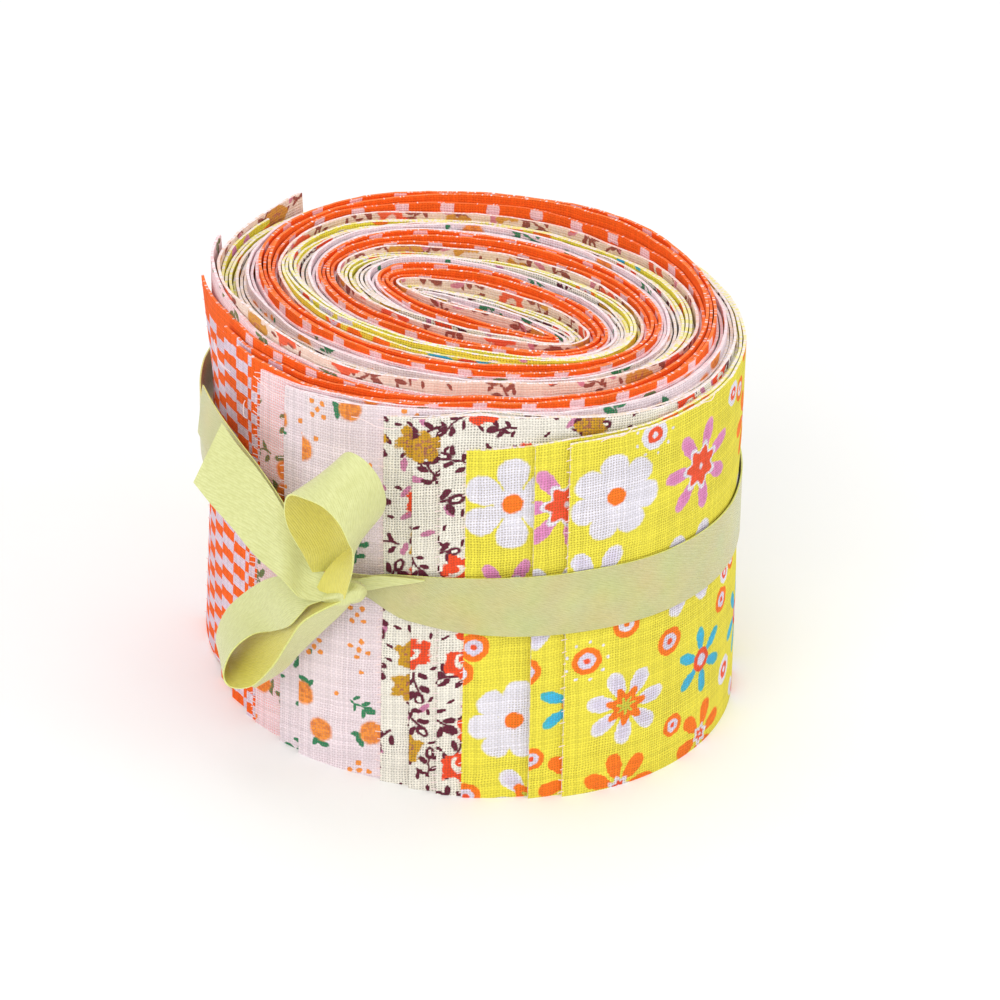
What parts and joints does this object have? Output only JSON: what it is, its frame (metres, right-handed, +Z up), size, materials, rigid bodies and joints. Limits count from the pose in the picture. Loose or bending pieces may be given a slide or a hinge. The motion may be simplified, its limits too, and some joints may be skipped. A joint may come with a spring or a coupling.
{
  "type": "fabric strip roll",
  "caption": "Roll of printed cotton patchwork strips standing on their cut edges, tied round the middle with a satin ribbon bow at the front left",
  "frame": {"origin": "Middle of the flat base, on the cut edges that the roll stands on.", "axes": "+Z is up along the strips' width. -Y is the front, the side that the picture faces. +X is to the right seen from the front, away from the bow."},
  "size_m": [0.0893, 0.0981, 0.0697],
  "materials": {
    "cotton_stack": "open plain woven cotton in four prints, cut edges up",
    "cotton_check": "open plain woven cotton, orange with broken pale bars",
    "cotton_sprig": "open plain woven cotton, pinkish white with orange fruit and green sprigs",
    "cotton_cream": "open plain woven cotton, cream with maroon sprigs and small flowers",
    "cotton_yellow": "open plain woven cotton, yellow with large daisies",
    "ribbon": "thin yellow-green satin ribbon, slightly sheer"
  },
  "bodies": {
    "root": {"roll": "cotton_stack", "flap_check": "cotton_check", "flap_sprig": "cotton_sprig", "flap_cream": "cotton_cream", "ribbon_band": "ribbon", "ribbon_knot": "ribbon", "ribbon_loop_upper": "ribbon", "ribbon_loop_lower": "ribbon", "ribbon_tail_front": "ribbon", "ribbon_tail_back": "ribbon"}
  },
  "joints": []
}
